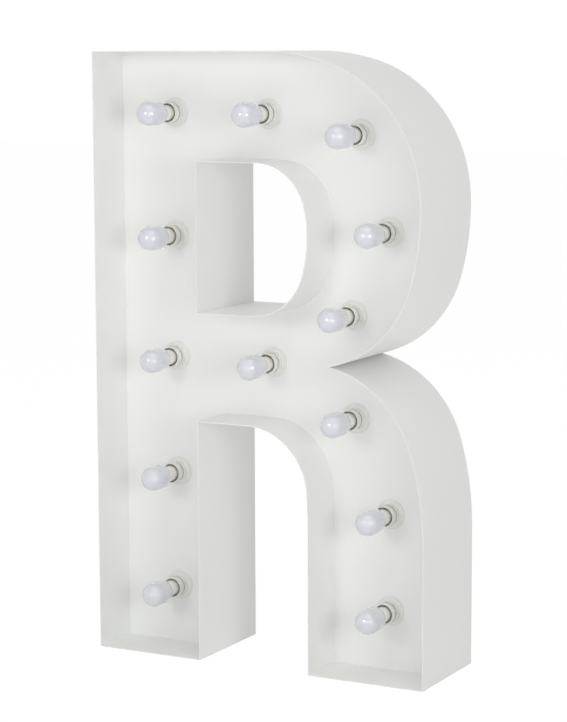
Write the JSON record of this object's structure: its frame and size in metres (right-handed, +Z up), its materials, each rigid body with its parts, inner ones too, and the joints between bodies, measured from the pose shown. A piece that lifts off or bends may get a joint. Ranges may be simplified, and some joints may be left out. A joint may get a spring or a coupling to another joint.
{
  "type": "light-up letter",
  "caption": "Free-standing capital letter R in white folded sheet, with a recessed face that carries screw-in frosted bulbs and a rocker switch and mains inlet at the back.",
  "frame": {"origin": "middle of the footprint, on the floor under the feet, half-way between the foremost bulb and the back edge", "axes": "+Z up, +X to the right as the letter is read, the letter faces -Y"},
  "size_m": [0.72, 0.2434, 1.2],
  "materials": {
    "white_paint": "satin white powder coat",
    "zinc_steel": "zinc plated",
    "holder_plastic": "satin off-white moulding",
    "brass": "plain",
    "diffuser": "frosted, cool white",
    "bulb_base": "satin beige moulding",
    "cable_sheath": "matte sheath",
    "wire_sheath": "matte sheath",
    "block_plastic": "matte moulding",
    "black_plastic": "fine grain moulding",
    "rocker_plastic": "gloss moulding"
  },
  "bodies": {
    "letter": {"spine_return": "white_paint", "bowl_return": "white_paint", "leg_upper_return": "white_paint", "leg_lower_return": "white_paint", "leg_foot": "white_paint", "arch_return": "white_paint", "stem_inner_return": "white_paint", "stem_foot": "white_paint", "counter_spine_return": "white_paint", "counter_bowl_return": "white_paint", "face_panel": "white_paint", "rear_panel": "white_paint", "panel_tabs": "zinc_steel", "panel_studs": "zinc_steel", "panel_nuts": "zinc_steel", "rear_tabs": "zinc_steel", "rear_screws": "zinc_steel", "holder_bases": "holder_plastic", "holder_collars": "holder_plastic", "holder_nuts": "holder_plastic", "holder_sleeves": "brass", "holder_contacts": "brass", "link_cables": "cable_sheath", "terminal_block": "block_plastic", "supply_wires": "wire_sheath", "earth_stud": "zinc_steel", "inlet_body": "black_plastic", "inlet_pins": "brass", "inlet_screws": "zinc_steel", "switch_body": "black_plastic", "switch_tabs": "brass"},
    "rocker": {"switch_rocker": "rocker_plastic"},
    "base_01": {"bulb_base_01": "bulb_base"},
    "bulb_01": {"bulb_01": "diffuser"},
    "base_02": {"bulb_base_02": "bulb_base"},
    "bulb_02": {"bulb_02": "diffuser"},
    "base_03": {"bulb_base_03": "bulb_base"},
    "bulb_03": {"bulb_03": "diffuser"},
    "base_04": {"bulb_base_04": "bulb_base"},
    "bulb_04": {"bulb_04": "diffuser"},
    "base_05": {"bulb_base_05": "bulb_base"},
    "bulb_05": {"bulb_05": "diffuser"},
    "base_06": {"bulb_base_06": "bulb_base"},
    "bulb_06": {"bulb_06": "diffuser"},
    "base_07": {"bulb_base_07": "bulb_base"},
    "bulb_07": {"bulb_07": "diffuser"},
    "base_08": {"bulb_base_08": "bulb_base"},
    "bulb_08": {"bulb_08": "diffuser"},
    "base_09": {"bulb_base_09": "bulb_base"},
    "bulb_09": {"bulb_09": "diffuser"},
    "base_10": {"bulb_base_10": "bulb_base"},
    "bulb_10": {"bulb_10": "diffuser"},
    "base_11": {"bulb_base_11": "bulb_base"},
    "bulb_11": {"bulb_11": "diffuser"},
    "base_12": {"bulb_base_12": "bulb_base"},
    "bulb_12": {"bulb_12": "diffuser"},
    "base_13": {"bulb_base_13": "bulb_base"},
    "bulb_13": {"bulb_13": "diffuser"}
  },
  "joints": [
    {"name": "rocker_tilt", "type": "hinge", "parent": "letter", "child": "rocker", "pos_m": [-0.243, 0.10765, 0.212], "axis": [-1, 0, 0], "range_deg": [0, 18]},
    {"name": "bulb_travel_01", "type": "slide", "parent": "letter", "child": "base_01", "axis": [0, -1, 0], "range_m": [0, 0.02178]},
    {"name": "bulb_turn_01", "type": "hinge", "parent": "base_01", "child": "bulb_01", "pos_m": [-0.2365, 0.00265, 1.079], "axis": [0, -1, 0], "range_deg": [0, 2180]},
    {"name": "bulb_travel_02", "type": "slide", "parent": "letter", "child": "base_02", "axis": [0, -1, 0], "range_m": [0, 0.02178]},
    {"name": "bulb_turn_02", "type": "hinge", "parent": "base_02", "child": "bulb_02", "pos_m": [-0.025, 0.00265, 1.079], "axis": [0, -1, 0], "range_deg": [0, 2180]},
    {"name": "bulb_travel_03", "type": "slide", "parent": "letter", "child": "base_03", "axis": [0, -1, 0], "range_m": [0, 0.02178]},
    {"name": "bulb_turn_03", "type": "hinge", "parent": "base_03", "child": "bulb_03", "pos_m": [0.1755, 0.00265, 1.0412], "axis": [0, -1, 0], "range_deg": [0, 2180]},
    {"name": "bulb_travel_04", "type": "slide", "parent": "letter", "child": "base_04", "axis": [0, -1, 0], "range_m": [0, 0.02178]},
    {"name": "bulb_turn_04", "type": "hinge", "parent": "base_04", "child": "bulb_04", "pos_m": [-0.2365, 0.00265, 0.8355], "axis": [0, -1, 0], "range_deg": [0, 2180]},
    {"name": "bulb_travel_05", "type": "slide", "parent": "letter", "child": "base_05", "axis": [0, -1, 0], "range_m": [0, 0.02178]},
    {"name": "bulb_turn_05", "type": "hinge", "parent": "base_05", "child": "bulb_05", "pos_m": [0.2365, 0.00265, 0.8572], "axis": [0, -1, 0], "range_deg": [0, 2180]},
    {"name": "bulb_travel_06", "type": "slide", "parent": "letter", "child": "base_06", "axis": [0, -1, 0], "range_m": [0, 0.02178]},
    {"name": "bulb_turn_06", "type": "hinge", "parent": "base_06", "child": "bulb_06", "pos_m": [0.1595, 0.00265, 0.6942], "axis": [0, -1, 0], "range_deg": [0, 2180]},
    {"name": "bulb_travel_07", "type": "slide", "parent": "letter", "child": "base_07", "axis": [0, -1, 0], "range_m": [0, 0.02178]},
    {"name": "bulb_turn_07", "type": "hinge", "parent": "base_07", "child": "bulb_07", "pos_m": [-0.2365, 0.00265, 0.592], "axis": [0, -1, 0], "range_deg": [0, 2180]},
    {"name": "bulb_travel_08", "type": "slide", "parent": "letter", "child": "base_08", "axis": [0, -1, 0], "range_m": [0, 0.02178]},
    {"name": "bulb_turn_08", "type": "hinge", "parent": "base_08", "child": "bulb_08", "pos_m": [-0.016, 0.00265, 0.592], "axis": [0, -1, 0], "range_deg": [0, 2180]},
    {"name": "bulb_travel_09", "type": "slide", "parent": "letter", "child": "base_09", "axis": [0, -1, 0], "range_m": [0, 0.02178]},
    {"name": "bulb_turn_09", "type": "hinge", "parent": "base_09", "child": "bulb_09", "pos_m": [0.165, 0.00265, 0.49284], "axis": [0, -1, 0], "range_deg": [0, 2180]},
    {"name": "bulb_travel_10", "type": "slide", "parent": "letter", "child": "base_10", "axis": [0, -1, 0], "range_m": [0, 0.02178]},
    {"name": "bulb_turn_10", "type": "hinge", "parent": "base_10", "child": "bulb_10", "pos_m": [-0.2365, 0.00265, 0.3555], "axis": [0, -1, 0], "range_deg": [0, 2180]},
    {"name": "bulb_travel_11", "type": "slide", "parent": "letter", "child": "base_11", "axis": [0, -1, 0], "range_m": [0, 0.02178]},
    {"name": "bulb_turn_11", "type": "hinge", "parent": "base_11", "child": "bulb_11", "pos_m": [0.24, 0.00265, 0.31092], "axis": [0, -1, 0], "range_deg": [0, 2180]},
    {"name": "bulb_travel_12", "type": "slide", "parent": "letter", "child": "base_12", "axis": [0, -1, 0], "range_m": [0, 0.02178]},
    {"name": "bulb_turn_12", "type": "hinge", "parent": "base_12", "child": "bulb_12", "pos_m": [-0.2365, 0.00265, 0.119], "axis": [0, -1, 0], "range_deg": [0, 2180]},
    {"name": "bulb_travel_13", "type": "slide", "parent": "letter", "child": "base_13", "axis": [0, -1, 0], "range_m": [0, 0.02178]},
    {"name": "bulb_turn_13", "type": "hinge", "parent": "base_13", "child": "bulb_13", "pos_m": [0.24, 0.00265, 0.119], "axis": [0, -1, 0], "range_deg": [0, 2180]}
  ],
  "couplings": [
    {"joint": "bulb_turn_01", "follows": "bulb_travel_01", "rad_per_m": 1730.9},
    {"joint": "bulb_turn_02", "follows": "bulb_travel_02", "rad_per_m": 1730.9},
    {"joint": "bulb_turn_03", "follows": "bulb_travel_03", "rad_per_m": 1730.9},
    {"joint": "bulb_turn_04", "follows": "bulb_travel_04", "rad_per_m": 1730.9},
    {"joint": "bulb_turn_05", "follows": "bulb_travel_05", "rad_per_m": 1730.9},
    {"joint": "bulb_turn_06", "follows": "bulb_travel_06", "rad_per_m": 1730.9},
    {"joint": "bulb_turn_07", "follows": "bulb_travel_07", "rad_per_m": 1730.9},
    {"joint": "bulb_turn_08", "follows": "bulb_travel_08", "rad_per_m": 1730.9},
    {"joint": "bulb_turn_09", "follows": "bulb_travel_09", "rad_per_m": 1730.9},
    {"joint": "bulb_turn_10", "follows": "bulb_travel_10", "rad_per_m": 1730.9},
    {"joint": "bulb_turn_11", "follows": "bulb_travel_11", "rad_per_m": 1730.9},
    {"joint": "bulb_turn_12", "follows": "bulb_travel_12", "rad_per_m": 1730.9},
    {"joint": "bulb_turn_13", "follows": "bulb_travel_13", "rad_per_m": 1730.9}
  ]
}
